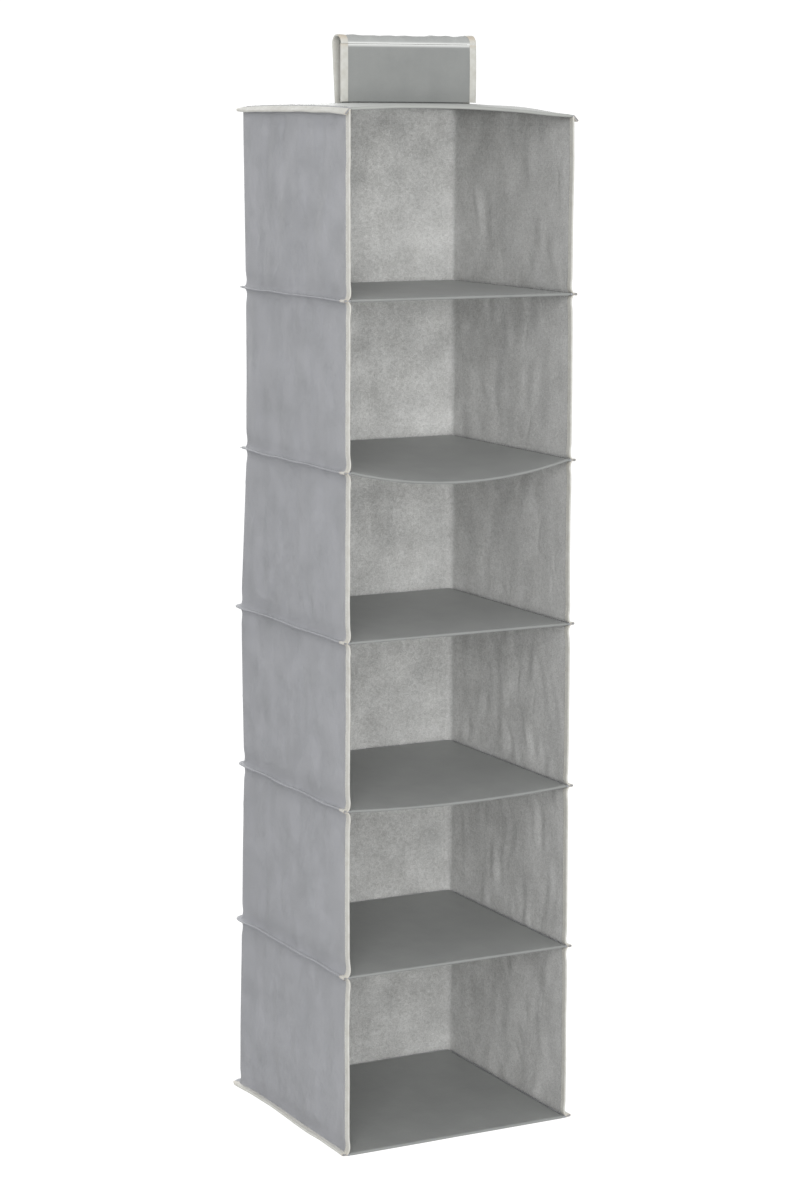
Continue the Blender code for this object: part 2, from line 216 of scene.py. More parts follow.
@dataclass(frozen=True)
class BindingTape(Finish):
    """Edge tape of the same fibre, cut 20 mm wide and pressed with fine ribs: off-white, soft and dull."""

    name: str = "polypropylene_binding_tape"
    shade: str = "B6B6B1"
    dusty: str = "A6A49C"
    tan: str = "AD9D86"
    rib_mm: float = 1.4

    def surface(self, tree: bpy.types.NodeTree) -> bpy.types.NodeSocket:
        """Dusty off-white with ribs, and tan where it is marked so."""
        place = add_node(tree, "TexCoord").outputs["UV"]
        noise = {"Vector": place, "Scale": 90.0, "Detail": 4.0, "Roughness": 0.6}
        dust = add_node(tree, "TexNoise", noise).outputs["Fac"]
        # ribs across the tape: real ones are 0.7 mm apart, drawn 1.4 mm apart so that they show
        bands = {"Vector": place, "Scale": 1 / (self.rib_mm * MM * 3.18), "Distortion": 1.2, "Detail": 1.0}
        ribs = add_node(tree, "TexWave", bands, bands_direction="Y").outputs["Fac"]
        soft = add_node(tree, "MapRange", {"Value": dust, 1: 0.35, 2: 0.7, 4: 0.8}).outputs[0]
        dusted = {0: soft, 6: linear(self.shade), 7: linear(self.dusty)}
        base = add_node(tree, "Mix", dusted, data_type="RGBA")
        # tan where the tan mark is set, mostly towards the tapes' ends
        tan_share = add_node(tree, "Attribute", attribute_name="tan").outputs["Fac"]
        colour = add_node(tree, "Mix", {0: tan_share, 6: base.outputs[2], 7: linear(self.tan)}, data_type="RGBA")
        fuzz = add_node(tree, "Bump", {"Height": dust, "Strength": 0.3, "Distance": 0.4 * MM}).outputs[0]
        raised = {"Height": ribs, "Strength": 0.2, "Distance": 0.15 * MM, "Normal": fuzz}
        bump = add_node(tree, "Bump", raised)
        look = {"Base Color": colour.outputs[2], "Roughness": 0.8, "IOR": 1.49, "Normal": bump.outputs[0]}
        look |= {"Sheen Weight": 0.25, "Sheen Roughness": 0.4}
        return add_node(tree, "BsdfPrincipled", look).outputs[0]


@dataclass(frozen=True)
class Greyboard(Finish):
    """Pressed waste-paper board: brownish grey, dull, with fine flecks."""

    name: str = "pressed_greyboard"

    def surface(self, tree: bpy.types.NodeTree) -> bpy.types.NodeSocket:
        """Flecked board."""
        place = add_node(tree, "TexCoord").outputs["Object"]
        noise = {"Vector": place, "Scale": 420.0, "Detail": 5.0, "Roughness": 0.75}
        flecks = add_node(tree, "TexNoise", noise).outputs["Fac"]
        spots = add_node(tree, "MapRange", {"Value": flecks, 1: 0.35, 2: 0.65}).outputs[0]
        colour = add_node(tree, "Mix", {0: spots, 6: linear("7C6F60"), 7: linear("A39683")}, data_type="RGBA")
        bump = add_node(tree, "Bump", {"Height": flecks, "Strength": 0.2, "Distance": 0.2 * MM}).outputs[0]
        look = {"Base Color": colour.outputs[2], "Roughness": 0.9, "IOR": 1.5, "Normal": bump}
        return add_node(tree, "BsdfPrincipled", look).outputs[0]


@dataclass(frozen=True)
class Pile(Finish):
    """Nylon closure tape: a woven ground with a dense pile of hooks or loops, which looks mossy and deep."""

    ground: str
    tips: str
    pile_mm: float

    def surface(self, tree: bpy.types.NodeTree) -> bpy.types.NodeSocket:
        """Tufts over the ground, lighter at their tips: painted shade, darker low in the pile between the
        tufts.
        """
        place = add_node(tree, "TexCoord").outputs["Object"]
        tufts = add_node(tree, "TexVoronoi", {"Vector": place, "Scale": 1 / (self.pile_mm * MM)})
        ends = {"Value": tufts.outputs["Distance"], 1: 0.1, 2: 0.6, 3: 1.0, 4: 0.0}
        tall = add_node(tree, "MapRange", ends).outputs[0]
        # painted shade: the ground between the tufts is drawn darker than the tips
        shades = {6: linear(self.ground), 7: linear(self.tips)}
        colour = add_node(tree, "Mix", {0: tall, **shades}, data_type="RGBA")
        bump = add_node(tree, "Bump", {"Height": tall, "Strength": 0.7, "Distance": 0.5 * MM}).outputs[0]
        look = {"Base Color": colour.outputs[2], "Roughness": 0.7, "IOR": 1.53, "Normal": bump}
        return add_node(tree, "BsdfPrincipled", {**look, "Sheen Weight": 0.3}).outputs[0]


@dataclass(frozen=True)
class Thread(Finish):
    """Spun polyester sewing thread: twisted, with a slight shine along each stitch."""

    shade: str

    def surface(self, tree: bpy.types.NodeTree) -> bpy.types.NodeSocket:
        """Twisted light and dark."""
        place = add_node(tree, "TexCoord").outputs["Object"]
        twist = add_node(tree, "TexNoise", {"Vector": place, "Scale": 1500.0, "Detail": 1.0}).outputs["Fac"]
        bright = linear(self.shade)
        dark = tuple(part * 0.75 for part in bright[:3]) + (1.0,)
        colour = add_node(tree, "Mix", {0: twist, 6: dark, 7: bright}, data_type="RGBA").outputs[2]
        look = {"Base Color": colour, "Roughness": 0.55, "IOR": 1.5}
        return add_node(tree, "BsdfPrincipled", look).outputs[0]


WALL_OUTSIDE = NonWoven(
    "nonwoven_wall_pressed_side", "9C9EA4", "C2C3C9", cloud=0.75, clump=0.12, see_through=0.5
)
WALL_INSIDE = NonWoven(
    "nonwoven_wall_fibre_side", "BABAB9", "CECECC", cloud_mm=38, clump_mm=4.5, cloud=0.45, clump=0.7,
    fibre=0.7, streak=0.1, roughness=0.85, bump=0.6, see_through=0.5, passed=("F4F4F2", "828280"),
)
PANEL_CLOTH = NonWoven("nonwoven_panel_cloth", "747675", "828482", clump=0.15, streak=0.2, roughness=0.6)
# painted light: a lighter copy of the panel cloth for the top sleeve, whose face turns up into the light
LIT_PANEL_CLOTH = NonWoven("nonwoven_top_cloth", "8B8D8A", "979995", clump=0.15, streak=0.2, roughness=0.6)
STRAP_CLOTH = NonWoven("nonwoven_strap_cloth", "878988", "9B9D9B", cloud=0.4, streak=0.2)
TAPE = BindingTape()
BOARD = Greyboard()
# painted shade: each pile's ground colour is darker than its tips, for the shade deep in the pile
HOOKS = Pile("nylon_hook_tape", "4B4D4E", "8C8E8E", 1.6)
LOOPS = Pile("nylon_loop_tape", "6E7070", "A5A7A6", 1.1)
PALE_THREAD = Thread("polyester_thread_pale", "D8D6CE")
GREY_THREAD = Thread("polyester_thread_grey", "9B9EA0")
# painted shade: near-black thread that draws the dark line where a sleeve meets the side walls
GAP_SHADE_THREAD = Thread("polyester_thread_dark", "3B3D3E")


# ---------------------------------------------------------------- sizes and surfaces

BODY_NAMES = ["top", *(f"shelf_{number}" for number in range(1, 6)), "bottom"]
TOP_CROWN = 9.5 * MM
TOP_DROOP = 8 * MM
DROOP_SPREAD = 100 * MM
CROWN_PLATEAU = 0.6  # the share of the width that the loop holds level
CROWN_FALL = 0.25  # the share of the crown that is lost at the sides, and again at the front and back
CLOTH_THICKNESS = 0.5 * MM
TAPE_THICKNESS = 0.4 * MM
SLEEVE_HALF = 1.8 * MM
SLEEVE_LAP = 1.2 * MM  # how far a sleeve reaches into its seam, past the walls
SEAM_HALF = 0.32 * MM  # a sleeve's half thickness where it is pinched into the seam
TUCK_REACH = 6.5 * MM
END_REACH = 8.0 * MM
CORNER_RADIUS = 8.0 * MM
LEFT_CORNER_TIPS = tuple(MM * tip for tip in (-0.4, -3.4, -3.7, 3.8, 0.5, 3.8, 7.0))
RIGHT_CORNER_TIP = 1.5 * MM
TIP_SPREAD = 26 * MM  # how far along the walls a corner's tip draws them with it


def smooth_step(value: np.ndarray) -> np.ndarray:
    """Go smoothly from 0 at 0 to 1 at 1: three times the square less twice the cube."""
    held = np.clip(value, 0.0, 1.0)
    return held * held * (3 - 2 * held)


def soft_waves(
    u: np.ndarray, v: np.ndarray, seed: int, u_mm: tuple[float, float], v_mm: tuple[float, float]
) -> np.ndarray:
    """Uneven swells over a sheet: the mean of seven cosine waves with seeded lengths, leans and phases.

    Args:
        u: distances one way over the sheet.
        v: distances the other way.
        seed: picks the waves.
        u_mm: shortest and longest wave along u.
        v_mm: shortest and longest wave along v.

    Returns:
        Heights, mostly between -1 and 1.
    """
    count = 7
    random = np.random.default_rng(seed)
    turns_u = 2 * math.pi / (random.uniform(*u_mm, count) * MM)
    turns_v = 2 * math.pi / (random.uniform(*v_mm, count) * MM) * random.choice([-1.0, 1.0], count)
    phases = random.uniform(0, 2 * math.pi, count)
    waves = np.cos(u[..., None] * turns_u + v[..., None] * turns_v + phases)
    return waves.sum(-1) / math.sqrt(count) / 1.2


def distances(points: np.ndarray) -> np.ndarray:
    """Distance along a line of points, from its start to each."""
    return np.concatenate([[0.0], np.cumsum(np.linalg.norm(np.diff(points, axis=0), axis=1))])


def bell(value: np.ndarray, spread: float) -> np.ndarray:
    """A bell-shaped bump: 1 at 0, and the inverse of e at the spread."""
    return np.exp(-((value / spread) ** 2))


@dataclass(frozen=True)
class Track:
    """A flat line that a strip of cloth follows, as closely spaced points."""

    points: np.ndarray

    @staticmethod
    def rounded(corners: list[tuple[float, float]], radius: float) -> "Track":
        """Straight runs between corners, with an arc of one radius at each inner corner.

        Args:
            corners: the ends and corners in order.
            radius: the arcs' radius.

        Returns:
            The track, with points half a millimetre apart or closer.
        """
        spots = np.array(corners, float)
        pieces = [spots[:1]]
        for before, corner, after in zip(spots[:-2], spots[1:-1], spots[2:]):
            into, out = corner - before, after - corner
            into, out = into / np.linalg.norm(into), out / np.linalg.norm(out)
            turn = math.acos(float(np.clip(into @ out, -1, 1)))
            inset = radius * math.tan(turn / 2)
            start = corner - into * inset
            bend = np.linspace(0, turn, max(4, int(radius * turn / (0.4 * MM))))
            sideways = (out - into * math.cos(turn)) / math.sin(turn)
            arc = start + radius * (np.sin(bend)[:, None] * into + (1 - np.cos(bend))[:, None] * sideways)
            pieces.append(arc)
        pieces.append(spots[-1:])
        rough = np.concatenate(pieces)
        rough = rough[np.diff(distances(rough), prepend=-1.0) > 1e-9]
        along = distances(rough)
        fine = np.linspace(0, along[-1], int(along[-1] / (0.5 * MM)) + 2)
        return Track(np.stack([np.interp(fine, along, rough[:, axis]) for axis in (0, 1)], 1))

    @cached_property
    def steps(self) -> np.ndarray:
        """Distance from the start to each point."""
        return distances(self.points)

    @property
    def length(self) -> float:
        """The whole length."""
        return float(self.steps[-1])

    def at(self, along: np.ndarray) -> tuple[np.ndarray, np.ndarray]:
        """Places on the track and the directions to its left, which is outside.

        Args:
            along: distances from the start.

        Returns:
            Points and unit normals, each with two numbers in its last axis.
        """
        heading = np.gradient(self.points, self.steps, axis=0)
        spots = [np.interp(along, self.steps, self.points[:, axis]) for axis in (0, 1)]
        way = [np.interp(along, self.steps, heading[:, axis]) for axis in (0, 1)]
        normal = np.stack([-way[1], way[0]], -1)
        return np.stack(spots, -1), normal / np.linalg.norm(normal, axis=-1, keepdims=True)


@dataclass(frozen=True)
class Grid:
    """A sheet as rows and columns of points, with the cloth's own measure at each."""

    points: np.ndarray
    cloth: np.ndarray
    round_columns: bool = False

    def faces(self) -> tuple[np.ndarray, np.ndarray]:
        """Four corners for each square.

        Returns:
            Point numbers of the corners, and the corners' rows and unwrapped columns.
        """
        rows, columns = self.points.shape[:2]
        last = columns if self.round_columns else columns - 1
        row, column = (part.ravel() for part in np.indices((rows - 1, last)))
        corner_rows = np.stack([row, row, row + 1, row + 1], 1)
        corner_columns = np.stack([column, column + 1, column + 1, column], 1)
        numbers = corner_rows * columns + corner_columns % columns
        return numbers, np.stack([corner_rows, corner_columns], -1)

    def normals(self) -> np.ndarray:
        """Outward normals: the cross product of the column direction and the row direction."""
        normal = np.cross(np.gradient(self.points, axis=1), np.gradient(self.points, axis=0))
        return normal / np.maximum(np.linalg.norm(normal, axis=-1, keepdims=True), 1e-12)


def make_object(
    name: str,
    vertices: np.ndarray,
    faces: list,
    cloth: np.ndarray | None,
    looks: list[Finish],
    face_looks: np.ndarray | None = None,
    marks: dict[str, np.ndarray] | None = None,
) -> bpy.types.Object:
    """Put points and faces into a new object at the origin, smooth but with its sharp edges kept.

    Args:
        name: the piece's name.
        vertices: the points.
        faces: the point numbers of each face.
        cloth: the cloth's own measure for each corner of each face, or None.
        looks: the finishes, in the order that face_looks counts them.
        face_looks: which finish each face has, or None for the first.
        marks: attributes by name, one number for each point.

    Returns:
        The new object.
    """
    mesh = bpy.data.meshes.new(name)
    mesh.from_pydata(vertices, [], faces)
    if cloth is not None:
        mesh.uv_layers.new(name="cloth").data.foreach_set("uv", cloth.astype(np.float32).ravel())
    for look in looks:
        mesh.materials.append(look.material())
    if face_looks is not None:
        mesh.polygons.foreach_set("material_index", face_looks.astype(np.int32))
    for mark, values in (marks or {}).items():
        mesh.attributes.new(mark, "FLOAT", "POINT").data.foreach_set("value", values.astype(np.float32))
    mesh.polygons.foreach_set("use_smooth", np.ones(len(mesh.polygons), bool))
    mesh.update()
    mesh.set_sharp_from_angle(angle=math.radians(55))
    piece = bpy.data.objects.new(name, mesh)
    bpy.context.scene.collection.objects.link(piece)
    return piece


def thick_sheet(
    name: str, grid: Grid, thickness: float, looks: list[Finish], marks: dict[str, np.ndarray] | None = None
) -> bpy.types.Object:
    """A sheet of cloth with a real thickness: the grid outside, the grid moved inwards inside, and rims.

    Args:
        name: the piece's name.
        grid: the outer face.
        thickness: the cloth's thickness.
        looks: the outer finish, and the inner one if it differs.
        marks: attributes by name, one number for each grid point.

    Returns:
        The new object.
    """
    rows, columns = grid.points.shape[:2]
    count = rows * columns
    outer = grid.points.reshape(-1, 3)
    inner = outer - grid.normals().reshape(-1, 3) * thickness
    numbers, places = grid.faces()
    measured = grid.cloth[places[..., 0], places[..., 1]]
    ids = np.arange(count).reshape(rows, columns)
    edges = [np.stack([ids[0, :-1], ids[0, 1:]], 1), np.stack([ids[-1, 1:], ids[-1, :-1]], 1)]
    edges += [np.stack([ids[:-1, -1], ids[1:, -1]], 1), np.stack([ids[1:, 0], ids[:-1, 0]], 1)]
    edge = np.concatenate(edges)
    rim = np.stack([edge[:, 1], edge[:, 0], edge[:, 0] + count, edge[:, 1] + count], 1)
    flat = grid.cloth.reshape(-1, 2)
    faces = np.concatenate([numbers, numbers[:, ::-1] + count, rim])
    cloth = np.concatenate([measured, measured[:, ::-1], flat[rim % count]])
    kinds = np.zeros(len(faces))
    kinds[len(numbers) : 2 * len(numbers)] = len(looks) - 1
    doubled = {mark: np.tile(values.ravel(), 2) for mark, values in (marks or {}).items()}
    return make_object(name, np.concatenate([outer, inner]), faces.tolist(), cloth, looks, kinds, doubled)


def closed_bar(name: str, grid: Grid, look: Finish) -> bpy.types.Object:
    """A bar whose grid goes all round it, closed by a flat face at each end.

    Args:
        name: the piece's name.
        grid: the surface, with rows along the bar and round columns.
        look: the finish.

    Returns:
        The new object.
    """
    rows, columns = grid.points.shape[:2]
    numbers, places = grid.faces()
    measured = grid.cloth[places[..., 0], places[..., 1]].reshape(-1, 2)
    first, last = list(range(columns))[::-1], list(range((rows - 1) * columns, rows * columns))
    cap = grid.cloth[[0] * columns + [rows - 1] * columns, [*range(columns)][::-1] + [*range(columns)]]
    faces = numbers.tolist() + [first, last]
    return make_object(name, grid.points.reshape(-1, 3), faces, np.concatenate([measured, cap]), [look])


def tape_sheet(
    name: str, points: np.ndarray, cloth: np.ndarray, tan: np.ndarray, flip: bool
) -> bpy.types.Object:
    """A folded tape.

    Args:
        name: the piece's name.
        points: the tape's outer face, in rows along the tape.
        cloth: the tape's own measure at each point.
        tan: how tan it is along its length or at each point.
        flip: whether its columns run the other way, which turns its face outwards.

    Returns:
        The new object.
    """
    tan = np.broadcast_to(tan, points.shape[:2])
    if flip:
        points, cloth, tan = points[:, ::-1], cloth[:, ::-1], tan[:, ::-1]
    return thick_sheet(name, Grid(points, cloth), TAPE_THICKNESS, [TAPE], {"tan": tan})


def settle(piece: bpy.types.Object, body: str, node: str = "") -> bpy.types.Object:
    """Fix a piece to the body that it moves with, and hide any CAD node it stands for."""
    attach(piece, body)
    if node:
        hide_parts(node)
    return piece


@dataclass(frozen=True)
class StitchRow:
    """Lockstitches along a line, each a small lens of thread that dips into the cloth at both ends."""

    length: float = 2.6 * MM
    gap: float = 0.9 * MM
    width: float = 0.55 * MM
    height: float = 0.35 * MM

    def lenses(self, line: np.ndarray, up: tuple[float, float, float]) -> np.ndarray:
        """Points of every stitch on a line: six round its waist and one on each face.

        Args:
            line: points along the seam.
            up: the cloth's outward direction.

        Returns:
            An array of stitches, points and coordinates.
        """
        steps = distances(line)
        pitch = self.length + self.gap
        centres = np.arange(pitch / 2 + 1 * MM, steps[-1] - pitch / 2, pitch)
        spot, ahead = (
            np.stack([np.interp(at, steps, line[:, axis]) for axis in range(3)], -1)
            for at in (centres, centres + 0.4 * MM)
        )
        ahead = ahead - spot
        ahead /= np.linalg.norm(ahead, axis=1, keepdims=True)
        normal = np.broadcast_to(np.array(up, float), spot.shape)
        across = np.cross(normal, ahead)
        half, wide, tall = self.length / 2, self.width / 2, self.height
        near = [(-1, 0, -0.3), (-0.55, 1, 0.1), (0.55, 1, 0.1)]
        far = [(1, 0, -0.3), (0.55, -1, 0.1), (-0.55, -1, 0.1)]
        shape = np.array([*near, *far, (0, 0, 1), (0, 0, -0.4)]) * (half, wide, tall)
        return spot[:, None] + np.einsum("pk,nkc->npc", shape, np.stack([ahead, across, normal], 1))


STITCH_RING = [(number, (number + 1) % 6) for number in range(6)]
STITCH_FACES = [(6, b, a) for a, b in STITCH_RING] + [(a, b, 7) for a, b in STITCH_RING]


def sewn(name: str, seams: list[tuple], look: Thread, row: StitchRow = StitchRow()) -> bpy.types.Object:
    """All the stitches of one sub-assembly as one piece.

    Args:
        name: the piece's name.
        seams: each seam's line and outward direction.
        look: the thread.
        row: the stitch size.

    Returns:
        The new object.
    """
    lenses = np.concatenate([row.lenses(line, up) for line, up in seams])
    start = np.arange(len(lenses))[:, None, None] * lenses.shape[1]
    faces = (np.array(STITCH_FACES)[None] + start).reshape(-1, 3)
    return make_object(name, lenses.reshape(-1, 3), faces.tolist(), None, [look])


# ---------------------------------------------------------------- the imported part's panels


@dataclass(frozen=True)
class PanelShape:
    """A board's level and the curve it has taken."""

    level: float
    half_width: float
    half_depth: float
    crown: float = 0.0
    sag: float = 0.0
    droop: float = 0.0

    def height(self, x: np.ndarray, y: np.ndarray) -> np.ndarray:
        """Height of the panel's middle.

        A crown is level under the loop, falls evenly by a quarter to the sides, and by another quarter to
        the front and back as the square of the distance. A sag is a parabola across, growing evenly from
        back to front. A droop is a bell-shaped dip round the front right corner.
        """
        pocket = self.half_width - 4 * MM
        plateau = CROWN_PLATEAU * pocket
        to_side = np.clip((np.abs(x) - plateau) / (self.half_width - plateau), 0, 1)
        to_front = np.minimum((y / self.half_depth) ** 2, 1)
        pulled = np.clip(1 - CROWN_FALL * to_side - CROWN_FALL * to_front, 0, None)
        across = np.clip(1 - (x / pocket) ** 2, 0, None)
        forward = np.clip((self.half_depth - y) / (2 * self.half_depth), 0, 1)
        corner = bell(np.hypot(x - self.half_width, y + self.half_depth), DROOP_SPREAD)
        return self.level + self.crown * pulled - self.sag * across * forward - self.droop * corner

    @cached_property
    def track(self) -> Track:
        """The line that walls and seams follow round the body: left side, back, right side."""
        w, d = self.half_width, self.half_depth
        return Track.rounded([(-w, -d), (-w, d), (w, d), (w, -d)], CORNER_RADIUS)

    @property
    def corner_at(self) -> float:
        """Where the left back corner is on the track."""
        return 2 * self.half_depth - CORNER_RADIUS * 0.2


def read_panels() -> list[PanelShape]:
    """Read the panels' levels and sags from the boards' boxes, and their size from the walls'."""
    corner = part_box("fabric_wall_1")[1]
    half_board = 1 * MM
    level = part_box("top_board")[1].z - half_board - TOP_CROWN
    panels = [PanelShape(level, corner.x, corner.y, crown=TOP_CROWN, droop=TOP_DROOP)]
    for name in [*(f"shelf_board_{number}" for number in range(1, 6)), "bottom_board"]:
        low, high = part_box(name)
        sagged = high.z - low.z - 2 * half_board
        panels.append(PanelShape(high.z - half_board, corner.x, corner.y, sag=sagged))
    return panels


# ---------------------------------------------------------------- the wrap


GATHER_FADE = 55 * MM
SEAM_CLEARANCE = 0.3 * MM  # from the cloth's ends to the middle of the panels
HEADER_HEIGHT = 14 * MM  # the strip of the top cell's wrap that stays with the crowned panel
EDGE_TURN = 0.95 * MM  # half the thickness of a front edge with its tape


@dataclass
class WrapCell:
    """The wrap round one cell, with the tapes on its front edges. It hangs from the panel above."""

    number: int
    above: PanelShape
    below: PanelShape
    billow: tuple[float, float, float] = (2.5 * MM, 3.0 * MM, 2.0 * MM)
    ripple: tuple[float, float, float] = (1.2 * MM, 1.1 * MM, 1.4 * MM)

    @property
    def track(self) -> Track:
        """The line that the cloth follows round the cell."""
        return self.above.track

    @property
    def body(self) -> str:
        """The body that the cell hangs from."""
        return BODY_NAMES[self.number - 1]

    @property
    def tall(self) -> float:
        """Height from seam to seam."""
        return self.above.level - self.below.level

    def share_of_panels(self, along: np.ndarray) -> tuple[list[np.ndarray], list[np.ndarray]]:
        """How far along each of the three sides a place is, and how much it belongs to it."""
        side = self.above.half_depth * 2 - CORNER_RADIUS * 0.43
        back = self.track.length - 2 * side
        runs = ((0.0, side), (side, back), (side + back, side))
        parts = [np.clip((along - start) / span, 0, 1) for start, span in runs]
        belongs = [((along >= start) & (along <= start + span)).astype(float) for start, span in runs]
        return parts, belongs

    def relief(self, along: np.ndarray, up: np.ndarray) -> np.ndarray:
        """How far the cloth stands out from its track.

        Each side bellies out as a sine each way. Gathers run up and down from both seams in patches, wander,
        and fade away from the seams. Creases are narrow ridges where a slow wave passes zero. The left back
        corner follows the tips of the tucks. Close to a seam the cloth draws in, then turns out into it.
        """
        parts, belongs = self.share_of_panels(along)
        from_low, from_high = up * self.tall, (1 - up) * self.tall
        out = np.zeros(np.broadcast(along, up).shape)
        for index, (part, mine) in enumerate(zip(parts, belongs)):
            seed = 100 * self.number + 10 * index
            belly = self.billow[index] * np.sin(math.pi * part) ** 0.8 * np.sin(math.pi * up) ** 0.7
            rise = up * self.tall
            astray = along + 6 * MM * soft_waves(along, rise, seed + 2, (120, 260), (90, 200))
            broad = soft_waves(astray, rise, seed, (70, 160), (150, 400))
            patches = smooth_step(0.55 + 0.9 * soft_waves(along, rise, seed + 5, (70, 150), (60, 150)))
            gathers = soft_waves(astray, rise, seed + 1, (24, 62), (120, 400)) * patches
            kinks = soft_waves(along, rise + 0.4 * along, seed + 3, (50, 130), (60, 150))
            crossed = smooth_step(soft_waves(along, rise, seed + 4, (90, 200), (90, 200)))
            creases = np.exp(-np.abs(kinks) / 0.1) * crossed
            fade = np.exp(-from_low / GATHER_FADE) + np.exp(-from_high / GATHER_FADE) + 0.35
            edges = np.sin(math.pi * part) ** 0.3
            if index == 1:
                edges = smooth_step(part * 9) * smooth_step((1 - part) * 9)
            ease = 1 - np.exp(-np.minimum(from_low, from_high) / (9 * MM))
            swell = self.ripple[index] * (0.9 * broad + 0.8 * gathers * fade + 0.9 * creases) * ease * edges
            out = out + mine * (belly + swell)
        low_tip, high_tip = LEFT_CORNER_TIPS[self.number], LEFT_CORNER_TIPS[self.number - 1]
        out = out + (low_tip + (high_tip - low_tip) * up) * bell(along - self.above.corner_at, TIP_SPREAD)
        for height in (from_low,) if self.number == 1 else (from_low, from_high):
            turned_out, drawn_in = np.exp(-height / (1.8 * MM)), bell(height - 9 * MM, 7 * MM)
            out = out + 3.2 * MM * turned_out - 1.0 * MM * drawn_in
        return out

    def place(self, along: np.ndarray, up: np.ndarray, out: float = 0.0) -> np.ndarray:
        """Points on the cloth's outer face.

        Args:
            along: distance round the cell from the left front edge.
            up: 0 at the lower seam and 1 at the upper one.
            out: extra distance outwards.

        Returns:
            Points, with three numbers in the last axis.
        """
        along, up = np.broadcast_arrays(along, up)
        spot, normal = self.track.at(along)
        low = self.below.height(spot[..., 0], spot[..., 1]) + SEAM_CLEARANCE
        high = self.above.height(spot[..., 0], spot[..., 1]) - SEAM_CLEARANCE
        xy = spot + normal * (self.relief(along, up) + out)[..., None]
        return np.concatenate([xy, (low + (high - low) * up)[..., None]], -1)

    def rows(self) -> np.ndarray:
        """Heights of the grid's rows, closer together near both seams."""
        even = np.linspace(0, 1, 76)
        return (1 - np.cos(math.pi * even)) / 2 * 0.55 + even * 0.45

    def make_walls(self) -> tuple[list[bpy.types.Object], float]:
        """The wrap itself as one bent sheet.

        The top cell's upper edge follows the crowned panel, so a strip of it is made as a piece of its own
        above the rest. Both share one row of points.

        Returns:
            The sheet and any strip above it, and the level where the strip starts, which is the upper panel's
            level for the other cells.
        """
        along = np.linspace(0, self.track.length, 350)[None, :]
        up = self.rows()[:, None]
        points = self.place(along, up)
        fixed = self.above.level
        parts = {f"wrap_cell_{self.number}": points}
        if self.number == 1:
            fixed -= HEADER_HEIGHT
            low = points[0, :, 2]
            eased = (up - up[0]) * (fixed - low) / (up[-1] - up[0]) / self.tall
            body = self.place(along, eased * self.tall / (points[-1, :, 2] - low))
            start = (fixed - low) / (points[-1, :, 2] - low)
            header = self.place(along, start + (1 - start) * np.linspace(0, 1, 9)[:, None])
            parts = {"wrap_cell_1": body, "wrap_header": header}
        made = []
        for name, spots in parts.items():
            cloth = np.stack(np.broadcast_arrays(along, spots[..., 2]), -1)
            grid = Grid(spots[:, ::-1], cloth[:, ::-1])
            piece = thick_sheet(name, grid, CLOTH_THICKNESS, [WALL_OUTSIDE, WALL_INSIDE])
            made.append(settle(piece, self.body, f"fabric_wall_{self.number}"))
        return made, fixed

    def spine(self, side: Side, inset: float, up: np.ndarray) -> np.ndarray:
        """The cloth's middle, up and down beside a front edge."""
        along = inset if side is Side.LEFT else self.track.length - inset
        return self.place(np.full_like(up, along), up, -CLOTH_THICKNESS / 2)

    def make_tape(self, side: Side) -> bpy.types.Object:
        """The tape folded round a front edge: back along the outer face, round the edge, along the inner."""
        rows = self.rows()
        rise = rows * self.tall
        turn = np.linspace(0, math.pi, 7)[1:-1]
        # distance back from the front edge, and distance out from the cloth's middle, along the tape
        outer_leg, inner_leg = np.linspace(9.0 * MM, 0.4 * MM, 6), np.linspace(0.4 * MM, 8.0 * MM, 6)
        back = np.concatenate([outer_leg, -0.85 * MM * np.sin(turn), inner_leg])
        away = np.concatenate([np.ones(6), np.cos(turn), -np.ones(6)]) * EDGE_TURN
        press = np.concatenate([[0.55, 0.9, 0.8], np.ones(11), [0.8, 0.9, 0.55]])
        seed = 7 * self.number + side.value
        ripple = 0.25 * MM * soft_waves(np.zeros_like(rise), rise, seed, (50, 90), (30, 120))[:, None]
        spine = self.spine(side, 3 * MM, rows)
        x = spine[:, :1] + side.value * (away * press)[None, :] + side.value * ripple * 0.5
        y = -self.above.half_depth + back[None, :] + 0.6 * ripple
        points = np.stack(np.broadcast_arrays(x, y, spine[:, 2:]), -1)
        across = distances(np.stack([back, away], -1))
        cloth = np.stack(np.broadcast_arrays(across[None, :], points[..., 2]), -1)
        tan = 0.25 * (np.exp(-rise / (4 * MM)) + np.exp(-(self.tall - rise) / (4 * MM)))[:, None]
        piece = tape_sheet(f"front_tape_{side.word}_{self.number}", points, cloth, tan, side is Side.RIGHT)
        return settle(piece, self.body, f"front_binding_{side.word}_{self.number}")

    def make_stitches(self) -> bpy.types.Object:
        """The stitches that hold both front tapes."""
        rows = np.linspace(0.02, 0.98, 120)
        seams = []
        for side in Side:
            for way in (1, -1):
                line = self.spine(side, 2.4 * MM, rows)
                line[:, 0] += side.value * way * 0.9 * MM
                line[:, 1] = -self.above.half_depth + 6.2 * MM
                seams.append((line, (side.value * way, 0, 0)))
        return settle(sewn(f"front_tape_stitches_{self.number}", seams, PALE_THREAD), self.body)

    def build(self) -> list[bpy.types.Object]:
        """Make the cell's cloth and tapes, and give the wall, the tapes and the stitches their own meshes.

        Returns:
            The wall, its two tapes and the stitches.
        """
        (wall, *header), fixed = self.make_walls()
        trims = [self.make_tape(Side.LEFT), self.make_tape(Side.RIGHT), self.make_stitches()]
        self.fold(wall)
        corners = self.above.height(np.array([-1, 1, 1]) * self.above.half_width, -self.above.half_depth)
        for piece, start in zip(trims, corners):
            self.fold(piece)
        self.track.length
        for piece in header:
            self.track.length
        return [wall, *header, *trims]

    def fold(self, piece: bpy.types.Object) -> None:
        """Give a piece its own copy of its mesh.

        Args:
            piece: the cloth, tape or stitches.
        """
        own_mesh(piece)


# ---------------------------------------------------------------- panels


